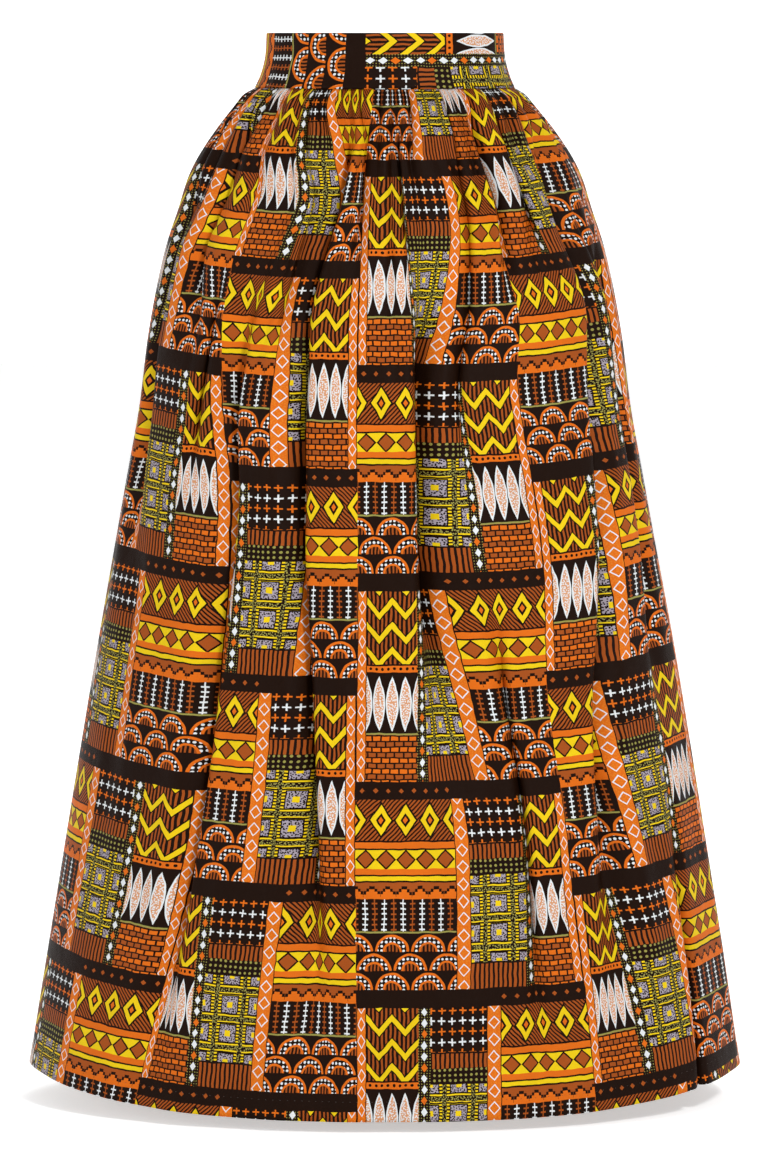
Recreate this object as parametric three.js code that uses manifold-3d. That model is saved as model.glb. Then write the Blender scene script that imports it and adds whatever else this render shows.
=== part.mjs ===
// A gathered maxi skirt, standing open as it does when it is worn, in millimetres.
// X runs across the skirt, -Y is its front and +Z is up. The origin is the middle of the waistband,
// half way up it, where the waist holds the skirt. The cloth is one tube: a front panel and two back
// panels, cut as plain rectangles on the straight grain and gathered into a stiff waistband that
// closes with a concealed zip at the centre back.
import * as THREE from "three";
import { mergeVertices } from "three/addons/utils/BufferGeometryUtils.js";
import Module from "manifold-3d";

const wasm = await Module();
wasm.setup();

// ---------------------------------------------------------------- driving sizes
const PANEL_WIDTH = 980; // cut width of the front panel, and of the two back panels together
const PANEL_LENGTH = 1032; // cloth from the waist seam to the hem
const CLOTH_WALL = 1.4;
const BAND_HEIGHT = 55;
const BAND_WALL = 2.4;
const SEAM_GAP = 0.3; // left between two pieces that are sewn together
const SIDE_GAP = 0.5; // left at the side seams, where the walls lean together in the gathers
const SEAM_DIP = 1; // the waist seam hangs this much lower at the centre front than at the sides

const GATHERS_PER_PANEL = 23;
const GATHER_COLUMNS = 5; // columns of points to one gather
const FOLD_DEPTH_PER_TAKE = 0.62; // how far a fold goes in for each mm of cloth that it takes up
const FOLD_WIDTH_PER_TAKE = 2; // cloth across a fold for each mm that it takes up

const ZIP_LENGTH = 165; // below the waist seam
const ZIP_SLOT = 1.6; // between the two edges that the zip joins
const TAPE_WIDTH = 12;
const TAPE_WALL = 0.8;
const PULL_LENGTH = 21;

// ---------------------------------------------------------------- tables of sizes
// Outer face of the waistband: drop below its top edge, half width and half depth.
const BAND_SECTIONS = [
  { drop: 0, side: 119.5, front: 86, back: 86 },
  { drop: 24, side: 121, front: 87, back: 87 },
  { drop: 42, side: 125.5, front: 90, back: 90 },
  { drop: 55, side: 131, front: 94, back: 94 },
];

// Outer face of the skirt: cloth distance below the waist seam, then how far the side, the centre
// front and the centre back stand from the middle. Heights follow from the cloth's own length.
const SKIRT_SECTIONS = [
  { drop: 0, side: 131.2, front: 94, back: 94 },
  { drop: 10, side: 138.6, front: 100, back: 100.5 },
  { drop: 25, side: 148, front: 107, back: 110 },
  { drop: 56, side: 167.5, front: 120, back: 127 },
  { drop: 88, side: 185.5, front: 131, back: 142 },
  { drop: 116, side: 198.5, front: 140, back: 152 },
  { drop: 144, side: 209, front: 147, back: 161 },
  { drop: 196, side: 225, front: 157, back: 173 },
  { drop: 275, side: 240.5, front: 169, back: 185 },
  { drop: 352, side: 250.5, front: 177.5, back: 192.5 },
  { drop: 430, side: 264.5, front: 185, back: 199 },
  { drop: 637, side: 300, front: 201, back: 216 },
  { drop: 1032, side: 363.5, front: 228, back: 242 },
];

// The largest folds. at: cloth from the middle of the front or of the back, counted the same way
// round, where the fold begins. drift: how far across the cloth it wanders by its end. They begin, are
// full, ease off and end at those distances below the waist seam. take: cloth that the fold takes up
// where it is full. lean: how far it tips sideways for each mm it goes in.
const FRONT_FOLDS = [
  { at: -432, drift: 14, begins: 90, full: 190, eases: 300, ends: 560, take: 30, lean: 0.5 },
  { at: -356, drift: 10, begins: 20, full: 90, eases: 150, ends: 320, take: 34, lean: 0.5 },
  { at: -282, drift: -45, begins: 170, full: 270, eases: 320, ends: 430, take: 22, lean: -0.4 },
  { at: -240, drift: -30, begins: 100, full: 400, eases: 720, ends: 1100, take: 44, lean: 0.6 },
  { at: -176, drift: 10, begins: 40, full: 120, eases: 190, ends: 330, take: 24, lean: -0.5 },
  { at: -120, drift: -10, begins: 15, full: 130, eases: 400, ends: 600, take: 52, lean: 0.6 },
  { at: -126, drift: 54, begins: 400, full: 600, eases: 640, ends: 1080, take: 44, lean: 0.6 },
  { at: -36, drift: 0, begins: 10, full: 60, eases: 110, ends: 250, take: 24, lean: -0.4 },
  { at: 26, drift: 8, begins: 15, full: 80, eases: 120, ends: 260, take: 22, lean: 0.4 },
  { at: 76, drift: 6, begins: 140, full: 320, eases: 440, ends: 780, take: 58, lean: -0.7 },
  { at: 140, drift: 0, begins: 20, full: 120, eases: 250, ends: 480, take: 24, lean: 0.4 },
  { at: 158, drift: 0, begins: 460, full: 640, eases: 760, ends: 1060, take: 26, lean: 0.4 },
  { at: 214, drift: 0, begins: 12, full: 60, eases: 130, ends: 260, take: 24, lean: -0.4 },
  { at: 290, drift: -30, begins: 20, full: 70, eases: 110, ends: 220, take: 26, lean: 0.5 },
  { at: 380, drift: -130, begins: 30, full: 150, eases: 560, ends: 1060, take: 44, lean: -0.6 },
  { at: 440, drift: -30, begins: 160, full: 250, eases: 460, ends: 700, take: 30, lean: -0.5 },
  { at: 404, drift: -50, begins: 640, full: 930, eases: 1000, ends: 1100, take: 20, lean: 0.4 },
];
const BACK_FOLDS = [
  { at: -432, drift: 0, begins: 30, full: 150, eases: 320, ends: 640, take: 32, lean: -0.5 },
  { at: -340, drift: 20, begins: 20, full: 120, eases: 260, ends: 1060, take: 50, lean: 0.6 },
  { at: -246, drift: 0, begins: 110, full: 260, eases: 380, ends: 700, take: 34, lean: -0.6 },
  { at: -190, drift: 0, begins: 15, full: 70, eases: 120, ends: 260, take: 24, lean: 0.4 },
  { at: -112, drift: 12, begins: 60, full: 240, eases: 480, ends: 1100, take: 46, lean: 0.5 },
  { at: 96, drift: -10, begins: 50, full: 200, eases: 330, ends: 900, take: 52, lean: -0.6 },
  { at: 184, drift: 0, begins: 30, full: 130, eases: 240, ends: 420, take: 28, lean: 0.5 },
  { at: 262, drift: 24, begins: 20, full: 140, eases: 420, ends: 1080, take: 48, lean: -0.5 },
  { at: 340, drift: 0, begins: 20, full: 80, eases: 140, ends: 280, take: 26, lean: 0.5 },
  { at: 410, drift: -12, begins: 40, full: 220, eases: 340, ends: 620, take: 40, lean: 0.6 },
];

// Depth of the gathers below the waist seam.
const GATHER_DEPTHS = [
  { drop: 0, depth: 2.6 },
  { drop: 12, depth: 5.5 },
  { drop: 37, depth: 8 },
  { drop: 70, depth: 8 },
  { drop: 120, depth: 5.5 },
  { drop: 190, depth: 2.5 },
  { drop: 300, depth: 0 },
];

// How uneven the gathers are: waves of these sizes, so many to one turn of the tube.
const GATHER_PLACES = [
  { size: 0.2, count: 11, phase: 0.6 },
  { size: 0.13, count: 27, phase: 0 },
];
const GATHER_REACHES = [
  { size: 0.35, count: 17, phase: 0 },
  { size: 0.2, count: 37, phase: 1 },
];
const GATHER_SIZES = [{ size: 0.25, count: 23, phase: 2 }];
const GATHER_BUNCHING = 0.045; // cloth drawn towards each gather's bottom, for each mm of pitch
const BUNCHED_UNTIL = { full: 100, ends: 300 };

// Rings of points down a skirt panel: close together where the gathers are.
const GATHERED_RINGS = [0, 7, 20, 42, 76, 116, ZIP_LENGTH];
const PLAIN_RINGS = [228, 305, 395, 500, 620, 750, 890, PANEL_LENGTH];

// ---------------------------------------------------------------- curves through the tables
const smooth = (low, high, x) => THREE.MathUtils.smoothstep(x, low, high);

// A column of a table at a given drop, by a cubic through its rows.
function column(table, name, drop) {
  const last = table.length - 1;
  let row = 0;
  while (row < last - 1 && drop > table[row + 1].drop) row += 1;
  const [low, high] = [table[row], table[row + 1]];
  const span = high.drop - low.drop;
  const slope = (i) => {
    const [a, b] = [table[Math.max(i - 1, 0)], table[Math.min(i + 1, last)]];
    return (b[name] - a[name]) / (b.drop - a.drop);
  };
  const t = THREE.MathUtils.clamp((drop - low.drop) / span, 0, 1);
  const [t2, t3] = [t * t, t * t * t];
  return (
    (2 * t3 - 3 * t2 + 1) * low[name] +
    (t3 - 2 * t2 + t) * span * slope(row) +
    (3 * t2 - 2 * t3) * high[name] +
    (t3 - t2) * span * slope(row + 1)
  );
}

// Height at a cloth distance below the seam, where the outline given by that column slopes outwards.
const HEIGHT_STEP = 2;
const heightTables = {};
function heightBelowSeam(name, drop) {
  if (!heightTables[name]) {
    const heights = [0];
    for (let d = 0; d < PANEL_LENGTH + HEIGHT_STEP; d += HEIGHT_STEP) {
      const out = column(SKIRT_SECTIONS, name, d + HEIGHT_STEP) - column(SKIRT_SECTIONS, name, d);
      heights.push(heights.at(-1) + Math.sqrt(HEIGHT_STEP ** 2 - out ** 2));
    }
    heightTables[name] = heights;
  }
  const index = Math.max(drop, 0) / HEIGHT_STEP;
  const low = Math.min(Math.floor(index), heightTables[name].length - 2);
  return THREE.MathUtils.lerp(heightTables[name][low], heightTables[name][low + 1], index - low);
}

// A quarter of an ellipse, from the centre front or back (angle 0) to the side: its length, and the
// angle at a given share of that length.
const ARC_STEPS = 180;
function quarterArc(side, depth) {
  const lengths = [0];
  for (let i = 1; i <= ARC_STEPS; i += 1) {
    const angle = ((i - 0.5) / ARC_STEPS) * (Math.PI / 2);
    const speed = Math.hypot(side * Math.cos(angle), depth * Math.sin(angle));
    lengths.push(lengths[i - 1] + (speed * Math.PI) / 2 / ARC_STEPS);
  }
  const length = lengths[ARC_STEPS];
  const angleAt = (share) => {
    const target = Math.min(Math.abs(share), 1) * length;
    let i = 1;
    while (i < ARC_STEPS && lengths[i] < target) i += 1;
    const part = (target - lengths[i - 1]) / (lengths[i] - lengths[i - 1]);
    return (((i - 1 + part) / ARC_STEPS) * Math.PI) / 2;
  };
  return { length, angleAt };
}

// ---------------------------------------------------------------- folds and gathers
const foldPlace = (fold, drop) => fold.at + (fold.drift * (drop - fold.begins)) / (fold.ends - fold.begins);
const foldTake = (fold, drop) =>
  fold.take * smooth(fold.begins, fold.full, drop) * (1 - smooth(fold.eases, fold.ends, drop));

// A place round the tube of cloth is its distance along the cloth from the centre front, towards +X.
// The side seams are half a panel's width away and the centre back a whole one.
const turns = (around) => (Math.PI * around) / PANEL_WIDTH;

const sumOfWaves = (waves, turn) =>
  waves.reduce((sum, { size, count, phase }) => sum + size * Math.sin(count * turn + phase), 0);

// Gather number at a place round the tube. The gathers are unevenly wide.
const GATHER_PITCH = PANEL_WIDTH / GATHERS_PER_PANEL;
const gatherNumber = (around) => around / GATHER_PITCH + sumOfWaves(GATHER_PLACES, turns(around));

// A gather's depth differs from its neighbours', and so does the distance it runs down.
function gatherDepth(around, drop) {
  const reach = 1 + sumOfWaves(GATHER_REACHES, turns(around));
  const size = 1 + sumOfWaves(GATHER_SIZES, turns(around));
  const deepest = column(GATHER_DEPTHS, "depth", Math.min(drop / reach, GATHER_DEPTHS.at(-1).drop));
  return Math.max(deepest, 0) * size;
}

// Half the tube, front or back, at one distance below the seam.
const halves = new Map();
function halfRing(isFront, drop) {
  const key = `${isFront} ${drop}`;
  if (halves.has(key)) return halves.get(key);
  const depthName = isFront ? "front" : "back";
  const folds = isFront ? FRONT_FOLDS : BACK_FOLDS;
  const side = column(SKIRT_SECTIONS, "side", drop) - CLOTH_WALL / 2;
  const depth = column(SKIRT_SECTIONS, depthName, drop) - CLOTH_WALL / 2;
  const arc = quarterArc(side, depth);
  const takes = folds.map((fold) => foldTake(fold, drop));
  const half = { isFront, drop, depthName, folds, side, depth, arc, takes };
  half.middle = foldedPlace(half, 0).along;
  half.edge = foldedPlace(half, PANEL_WIDTH / 2).along;
  half.scales = [arc.length / half.middle, arc.length / (half.edge - half.middle)];
  halves.set(key, half);
  return half;
}

// How the folds move a place in a half: along the arc, in cloth, and inwards and sideways, in mm.
function foldedPlace(half, at) {
  const place = { along: at + PANEL_WIDTH / 2, inward: 0, sideways: 0 };
  half.folds.forEach((fold, i) => {
    const take = half.takes[i];
    const fromFold = at - foldPlace(fold, half.drop);
    const t = THREE.MathUtils.clamp(fromFold / (FOLD_WIDTH_PER_TAKE * fold.take), -0.5, 0.5);
    const inward = FOLD_DEPTH_PER_TAKE * take * (0.5 + 0.5 * Math.cos(2 * Math.PI * t));
    place.along -= take * (t + 0.5 + Math.sin(2 * Math.PI * t) / (2 * Math.PI));
    place.inward += inward;
    place.sideways += fold.lean * inward;
  });
  return place;
}

// Arc for each mm of cloth outside folds, on either side of the middle.
const arcScale = (half, at) => half.scales[at < 0 ? 0 : 1];

// The middle of the cloth at a place round the tube. The sides slope more, so they end higher.
const SIDE_LIFT_POWER = 3.5; // how closely that lift keeps to the sides
const FLAT_AT_ZIP = { from: 20, to: 36 }; // no gathers this near the centre back, in mm of tube
function clothPoint(around, drop) {
  const isFront = Math.abs(around) <= PANEL_WIDTH / 2;
  const at = isFront ? around : around - Math.sign(around) * PANEL_WIDTH;
  const half = halfRing(isFront, drop);
  const place = foldedPlace(half, at);
  const scale = arcScale(half, at);
  const free = isFront ? 1 : smooth(FLAT_AT_ZIP.from, FLAT_AT_ZIP.to, Math.abs(at) * scale);
  const phase = 2 * Math.PI * gatherNumber(around);
  const inward = place.inward + gatherDepth(around, drop) * (0.5 - 0.5 * Math.cos(phase)) * free;
  const bunched = free * (1 - smooth(BUNCHED_UNTIL.full, BUNCHED_UNTIL.ends, drop));
  const bunching = GATHER_BUNCHING * GATHER_PITCH * Math.sin(phase) * bunched;
  const onArc = (place.along - half.middle + bunching) * scale + place.sideways;
  const angle = Math.sign(onArc) * half.arc.angleAt(onArc / half.arc.length);
  const outward = new THREE.Vector2(half.depth * Math.sin(angle), -half.side * Math.cos(angle)).normalize();
  const x = half.side * Math.sin(angle) - outward.x * inward;
  const y = -half.depth * Math.cos(angle) - outward.y * inward;
  const atSide = Math.abs(Math.sin(angle)) ** SIDE_LIFT_POWER;
  const below = THREE.MathUtils.lerp(
    heightBelowSeam(half.depthName, drop),
    heightBelowSeam("side", drop),
    atSide,
  );
  const dip = isFront ? SEAM_DIP * (1 - atSide) : 0;
  const z = -BAND_HEIGHT / 2 - SEAM_GAP - dip - below;
  return isFront ? new THREE.Vector3(x, y, z) : new THREE.Vector3(-x, -y, z);
}

// The middle of the waistband. around: degrees from the centre front, towards +X.
function bandPoint(around, drop) {
  const angle = THREE.MathUtils.degToRad(around);
  const isFront = Math.cos(angle) >= 0;
  const side = column(BAND_SECTIONS, "side", drop) - BAND_WALL / 2;
  const depth = column(BAND_SECTIONS, isFront ? "front" : "back", drop) - BAND_WALL / 2;
  const dip = isFront ? SEAM_DIP * Math.cos(angle) ** 2 * (drop / BAND_HEIGHT) : 0;
  return new THREE.Vector3(
    side * Math.sin(angle),
    -depth * Math.cos(angle),
    BAND_HEIGHT / 2 - drop - dip,
  );
}

// ---------------------------------------------------------------- walls
// A point on one face of a sheet, moved off its middle by offset (outwards is positive). A level row
// moves sideways only, so that its edge ends flat against the piece above or below it.
const NUDGE = { at: 0.4, drop: 0.4 };
function offsetPoint(middle, at, drop, offset, { lowest, highest, levelAt }) {
  const along = middle(at + NUDGE.at, drop).sub(middle(at - NUDGE.at, drop));
  const upper = Math.max(drop - NUDGE.drop, lowest);
  const lower = Math.min(drop + NUDGE.drop, highest);
  const down = middle(at, lower).sub(middle(at, upper));
  const out = down.cross(along);
  if (drop === levelAt) out.z = 0;
  return middle(at, drop).addScaledVector(out.normalize(), offset);
}

// A closed wall between two offsets of a sheet. rows: [{ drop, ats }], from the top down, each with
// its own places across. Neighbouring rows may have different numbers of places.
function wall(middle, rows, thickness, levelAt) {
  const edges = { lowest: rows[0].drop, highest: rows.at(-1).drop, levelAt };
  const points = [];
  const layer = (offset) =>
    rows.map(({ drop, ats }) =>
      ats.map((at) => points.push(offsetPoint(middle, at, drop, offset, edges)) - 1),
    );
  const [outside, inside] = [layer(thickness / 2), layer(-thickness / 2)];
  const triangles = [];
  const quad = (a, b, c, d) => triangles.push(a, b, c, a, c, d);
  for (let row = 0; row < rows.length - 1; row += 1) {
    const [upper, lower] = [rows[row].ats, rows[row + 1].ats];
    let [i, j] = [0, 0];
    while (i < upper.length - 1 || j < lower.length - 1) {
      const stepLower = i === upper.length - 1 || (j < lower.length - 1 && lower[j + 1] <= upper[i + 1]);
      const third = (grid) => (stepLower ? grid[row + 1][j + 1] : grid[row][i + 1]);
      triangles.push(outside[row][i], outside[row + 1][j], third(outside));
      triangles.push(inside[row][i], third(inside), inside[row + 1][j]);
      if (stepLower) j += 1;
      else i += 1;
    }
    quad(inside[row][0], inside[row + 1][0], outside[row + 1][0], outside[row][0]);
    quad(outside[row].at(-1), outside[row + 1].at(-1), inside[row + 1].at(-1), inside[row].at(-1));
  }
  for (let i = 0; i < outside[0].length - 1; i += 1)
    quad(outside[0][i], outside[0][i + 1], inside[0][i + 1], inside[0][i]);
  const [hemOut, hemIn] = [outside.at(-1), inside.at(-1)];
  for (let i = 0; i < hemOut.length - 1; i += 1) quad(hemOut[i], hemIn[i], hemIn[i + 1], hemOut[i + 1]);
  const geometry = new THREE.BufferGeometry().setFromPoints(points);
  geometry.setIndex(triangles);
  return geometry;
}

// ---------------------------------------------------------------- skirt panels
// Where the columns of points lie across a panel, from one edge to the other, in order.
function columnsBetween(from, to, inside, shortest) {
  const kept = inside.filter((at) => at > from + shortest && at < to - shortest);
  const spaced = [];
  [...kept].sort((a, b) => a - b).forEach((at) => {
    if (!spaced.length || at - spaced.at(-1) >= shortest) spaced.push(at);
  });
  return [from, ...spaced, to];
}

// Columns that follow every gather, for the top of the skirt.
const GATHERED_COLUMNS = [];
for (let around = -PANEL_WIDTH, next = -Infinity; around < PANEL_WIDTH; around += 0.05) {
  const step = Math.floor(gatherNumber(around) * GATHER_COLUMNS);
  if (step > next) GATHERED_COLUMNS.push(around);
  next = Math.max(step, next);
}

// Columns that follow the largest folds at one distance below the seam, with plain ones between.
const FOLD_COLUMNS = [-0.5, -0.25, 0, 0.25, 0.5];
const PLAIN_COLUMN_PITCH = 26;
function plainColumns(drop, folds, middle) {
  const present = folds.filter(({ begins, ends }) => drop > begins && drop < ends);
  const places = present.flatMap((fold) =>
    FOLD_COLUMNS.map((share) => middle + foldPlace(fold, drop) + share * FOLD_WIDTH_PER_TAKE * fold.take),
  );
  const edge = middle - PANEL_WIDTH / 2;
  for (let place = edge; place < edge + PANEL_WIDTH; place += PLAIN_COLUMN_PITCH) {
    if (places.every((other) => Math.abs(other - place) > PLAIN_COLUMN_PITCH * 0.45)) places.push(place);
  }
  return places;
}

// A panel between two edges, each given as a place round the tube at a distance below the seam.
const SHORTEST_COLUMN = { gathered: 3, plain: 6 };
function skirtPanel(from, to) {
  const row = (places, shortest, drop) => ({
    drop,
    ats: columnsBetween(from(drop), to(drop), places, shortest),
  });
  const gatheredRow = (drop) => row(GATHERED_COLUMNS, SHORTEST_COLUMN.gathered, drop);
  const plainRow = (drop) => {
    const places = [
      ...plainColumns(drop, FRONT_FOLDS, 0),
      ...plainColumns(drop, BACK_FOLDS, PANEL_WIDTH),
      ...plainColumns(drop, BACK_FOLDS, -PANEL_WIDTH),
    ];
    return row(places, SHORTEST_COLUMN.plain, drop);
  };
  return wall(clothPoint, [...GATHERED_RINGS.map(gatheredRow), ...PLAIN_RINGS.map(plainRow)], CLOTH_WALL, 0);
}

// Where panels end: at the side seams, and at the centre back, open along the zip and sewn below it.
const SIDE_SEAM = PANEL_WIDTH / 2;
const stretch = (around, drop) => clothPoint(around + 0.5, drop).distanceTo(clothPoint(around - 0.5, drop));
const frontEdge = (side) => (drop) =>
  side * (SIDE_SEAM - SIDE_GAP / 2 / stretch(side * (SIDE_SEAM - 1), drop));
const backSideEdge = (side) => (drop) =>
  side * (SIDE_SEAM + SIDE_GAP / 2 / stretch(side * (SIDE_SEAM + 1), drop));
const backMiddleEdge = (side) => (drop) => {
  const open = 1 - smooth(ZIP_LENGTH, ZIP_LENGTH + 30, drop);
  const slot = THREE.MathUtils.lerp(SEAM_GAP, ZIP_SLOT, open);
  return side * (PANEL_WIDTH - slot / 2 / arcScale(halfRing(false, drop), -side));
};

const skirtFront = () => skirtPanel(frontEdge(-1), frontEdge(1));
const skirtBackLeft = () => skirtPanel(backSideEdge(1), backMiddleEdge(1));
const skirtBackRight = () => skirtPanel(backMiddleEdge(-1), backSideEdge(-1));

// ---------------------------------------------------------------- waistband
const BAND_ROWS = [0, 12, 24, 36, 46, BAND_HEIGHT];
const BAND_COLUMNS = 72;
function waistband() {
  const slot = THREE.MathUtils.radToDeg(ZIP_SLOT / 2 / BAND_SECTIONS[0].side);
  const rows = BAND_ROWS.map((drop) => ({
    drop,
    ats: Array.from({ length: BAND_COLUMNS + 1 }, (_, i) =>
      THREE.MathUtils.lerp(slot - 180, 180 - slot, i / BAND_COLUMNS),
    ),
  }));
  return wall(bandPoint, rows, BAND_WALL, BAND_HEIGHT);
}

// ---------------------------------------------------------------- zip
// A zip tape lies against the inner faces of the band and of the back panel, beside the slot.
const TAPE_TOP = 4; // below the band's top edge
const TAPE_COLUMNS = 3;
const TAPE_GAP = 0.4; // between a tape and the cloth it lies on
const TAPE_ROWS = [
  TAPE_TOP,
  ...BAND_ROWS.slice(1),
  ...GATHERED_RINGS.slice(1).map((drop) => BAND_HEIGHT + drop),
];
const aroundFromBack = (across, perAround) => Math.sign(-across) * PANEL_WIDTH + across / perAround;
function tapeMiddle(across, down) {
  const inBand = down <= BAND_HEIGHT;
  const bandSheet = (s, d) => bandPoint(THREE.MathUtils.radToDeg(Math.PI + s / BAND_SECTIONS[1].side), d);
  const clothSheet = (s, d) => {
    const drop = Math.max(d - BAND_HEIGHT, 0);
    return clothPoint(aroundFromBack(s, arcScale(halfRing(false, drop), s)), drop);
  };
  const inward = ((inBand ? BAND_WALL : CLOTH_WALL) + TAPE_WALL) / 2 + TAPE_GAP;
  const edges = { lowest: inBand ? 0 : BAND_HEIGHT, highest: BAND_HEIGHT + PANEL_LENGTH };
  return offsetPoint(inBand ? bandSheet : clothSheet, across, down, -inward, edges);
}

// side: 1 for the wearer's left, at +X, which is the lower side of across at the back.
function zipTape(side) {
  const start = side > 0 ? -ZIP_SLOT / 2 - TAPE_WIDTH : ZIP_SLOT / 2;
  const ats = Array.from({ length: TAPE_COLUMNS + 1 }, (_, i) => start + (i * TAPE_WIDTH) / TAPE_COLUMNS);
  return wall(tapeMiddle, TAPE_ROWS.map((drop) => ({ drop, ats })), TAPE_WALL);
}

function solidOf(geometry) {
  const bare = geometry.clone().deleteAttribute("normal").deleteAttribute("uv");
  const merged = mergeVertices(bare, 1e-4);
  return new wasm.Manifold(
    new wasm.Mesh({
      numProp: 3,
      vertProperties: merged.attributes.position.array,
      triVerts: new Uint32Array(merged.index.array),
    }),
  );
}

function geometryOf(solid) {
  const mesh = solid.getMesh();
  return new THREE.BufferGeometry()
    .setAttribute("position", new THREE.BufferAttribute(new Float32Array(mesh.vertProperties), 3))
    .setIndex(new THREE.BufferAttribute(new Uint32Array(mesh.triVerts), 1));
}

const block = (width, deep, high, x, y, z) =>
  solidOf(new THREE.BoxGeometry(width, deep, high).translate(x, y, z));

// A pin along X.
const PIN_SIDES = 12;
function crossPin(radius, length, y, z) {
  const pin = new THREE.CylinderGeometry(radius, radius, length, PIN_SIDES);
  return solidOf(pin.rotateZ(Math.PI / 2).translate(0, y, z));
}

const SLIDER_DROP = 9; // pivot of the pull below the band's top edge
const SLIDER_Z = BAND_HEIGHT / 2 - SLIDER_DROP;
const BAND_BACK = column(BAND_SECTIONS, "back", SLIDER_DROP);
const PIVOT_Y = BAND_BACK + 3.4;
const NECK_WIDTH = 0.9;
const LUG = { high: 4.6, beyondPivot: 1.9, hole: 1 };
const SLIDER_BODY = { width: 7, deep: 2.6, high: 9 };

// The slider's body is inside the tapes. A thin neck passes out through the slot and ends in a lug.
function zipSlider() {
  const bodyFront = BAND_BACK - BAND_WALL - TAPE_GAP - TAPE_WALL - 2 * SEAM_GAP;
  const body = block(
    SLIDER_BODY.width, SLIDER_BODY.deep, SLIDER_BODY.high,
    0, bodyFront - SLIDER_BODY.deep / 2, SLIDER_Z,
  );
  const lugEnd = PIVOT_Y + LUG.beyondPivot;
  const neckStart = bodyFront - SLIDER_BODY.deep / 2;
  const neck = block(NECK_WIDTH, lugEnd - neckStart, LUG.high, 0, (lugEnd + neckStart) / 2, SLIDER_Z);
  return geometryOf(body.add(neck).subtract(crossPin(LUG.hole, 4 * NECK_WIDTH, PIVOT_Y, SLIDER_Z)));
}

// The pull hangs from a pin through the lug: two short arms and a tapered tab.
const PULL = { pin: 0.6, armGap: 1.7, armWidth: 1, wall: 1.2, armLength: 5.5, topWidth: 3.7, endWidth: 5.4 };
function zipPull() {
  const pin = crossPin(PULL.pin, PULL.armGap + 2 * PULL.armWidth, PIVOT_Y, SLIDER_Z);
  const arm = (sign) =>
    block(
      PULL.armWidth, PULL.wall, PULL.armLength + PULL.wall / 2,
      (sign * (PULL.armGap + PULL.armWidth)) / 2, PIVOT_Y, SLIDER_Z + PULL.wall / 4 - PULL.armLength / 2,
    );
  const outline = new THREE.Shape();
  const endRadius = PULL.endWidth / 2;
  const endZ = -PULL_LENGTH + endRadius;
  outline.moveTo(-PULL.topWidth / 2, -PULL.armLength + 1);
  outline.lineTo(-endRadius, endZ);
  outline.absarc(0, endZ, endRadius, Math.PI, 2 * Math.PI, false);
  outline.lineTo(PULL.topWidth / 2, -PULL.armLength + 1);
  outline.closePath();
  const tab = new THREE.ExtrudeGeometry(outline, { depth: PULL.wall, bevelEnabled: false, curveSegments: 10 })
    .rotateX(Math.PI / 2)
    .translate(0, PIVOT_Y + PULL.wall / 2, SLIDER_Z);
  const tabSolid = solidOf(tab);
  return geometryOf(pin.add(arm(-1)).add(arm(1)).add(tabSolid));
}

// ---------------------------------------------------------------- the part
const PRINT = { color: 0xb4571c, roughness: 0.72, metalness: 0 };
const TAPE = { color: 0x1c1816, roughness: 0.85, metalness: 0 };
const METAL = { color: 0x6b5a3a, roughness: 0.35, metalness: 1 };

const skirt = new THREE.Group();
function add(name, geometry, look) {
  const mesh = new THREE.Mesh(geometry, new THREE.MeshStandardMaterial({ ...look, name }));
  mesh.name = name;
  skirt.add(mesh);
}
add("waistband", waistband(), PRINT);
add("skirt_front", skirtFront(), PRINT);
add("skirt_back_left", skirtBackLeft(), PRINT);
add("skirt_back_right", skirtBackRight(), PRINT);
add("zip_tape_left", zipTape(1), TAPE);
add("zip_tape_right", zipTape(-1), TAPE);
add("zip_slider", zipSlider(), METAL);
add("zip_pull", zipPull(), METAL);

export default skirt;
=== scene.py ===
import math

import bpy
import numpy as np
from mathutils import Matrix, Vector


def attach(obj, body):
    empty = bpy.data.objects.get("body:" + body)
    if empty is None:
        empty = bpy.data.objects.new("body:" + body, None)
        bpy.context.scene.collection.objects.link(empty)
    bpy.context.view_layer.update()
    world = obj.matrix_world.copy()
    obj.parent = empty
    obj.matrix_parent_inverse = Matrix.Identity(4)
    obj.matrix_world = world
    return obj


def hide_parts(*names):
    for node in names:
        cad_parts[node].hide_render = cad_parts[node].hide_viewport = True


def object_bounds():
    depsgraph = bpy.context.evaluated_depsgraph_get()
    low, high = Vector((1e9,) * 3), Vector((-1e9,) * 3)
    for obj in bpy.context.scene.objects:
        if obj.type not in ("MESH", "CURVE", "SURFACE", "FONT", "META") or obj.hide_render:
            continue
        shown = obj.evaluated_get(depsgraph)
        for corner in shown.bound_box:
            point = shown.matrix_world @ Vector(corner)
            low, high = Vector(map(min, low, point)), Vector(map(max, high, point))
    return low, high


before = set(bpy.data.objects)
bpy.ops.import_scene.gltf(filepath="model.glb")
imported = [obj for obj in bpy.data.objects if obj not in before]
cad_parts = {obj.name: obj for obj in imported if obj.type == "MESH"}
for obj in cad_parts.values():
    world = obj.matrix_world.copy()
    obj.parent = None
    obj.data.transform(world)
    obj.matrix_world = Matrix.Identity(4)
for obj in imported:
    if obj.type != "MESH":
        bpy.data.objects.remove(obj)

cad_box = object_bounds()
MM = 0.001

# ------------------------------------------------ driving sizes
PANEL_WIDTH = 0.980  # cut width of the front panel, and of the two back panels together
PANEL_LENGTH = 1.032  # cloth from the waist seam to the hem
BAND_HEIGHT = 0.055
BAND_WALL = 0.0024
CAD_WALL = 0.0014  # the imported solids' wall, whose middle the visual cloth follows
CLOTH = 0.0006  # the visual cloth's own thickness
SEAM_GAP = 0.0003  # between pieces that are sewn together
SEAM_DIP = 0.001  # how much lower the waist seam lies at the centre front than at the sides
SIDE_LIFT_POWER = 3.5  # the higher, the nearer the sides the cloth takes the heights of the sides

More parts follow.
